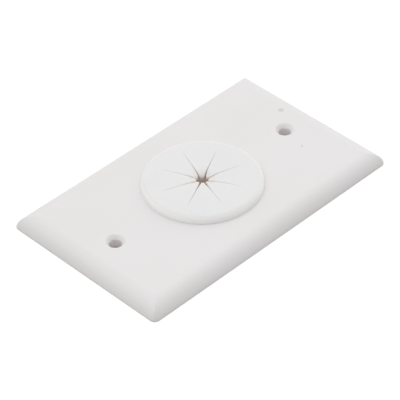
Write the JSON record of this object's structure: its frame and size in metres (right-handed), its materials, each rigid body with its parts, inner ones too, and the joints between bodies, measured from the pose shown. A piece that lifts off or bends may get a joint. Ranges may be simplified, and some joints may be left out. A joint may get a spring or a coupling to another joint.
{
  "type": "grommet wall plate",
  "caption": "Flat moulded wall plate with rolled edges, countersunk screw holes and a round soft slotted grommet that cables pass through.",
  "frame": {"origin": "centre of the back rim, on the plane that lies against the wall", "axes": "+Z out of the wall, +Y along the plate's length, X across its width"},
  "size_m": [0.0698, 0.1142, 0.0077],
  "materials": {
    "plate_plastic": "smooth satin moulded white",
    "grommet_rubber": "smooth matt white soft moulding"
  },
  "bodies": {
    "root": {"wall_plate": "plate_plastic", "cable_grommet": "grommet_rubber"}
  },
  "joints": []
}
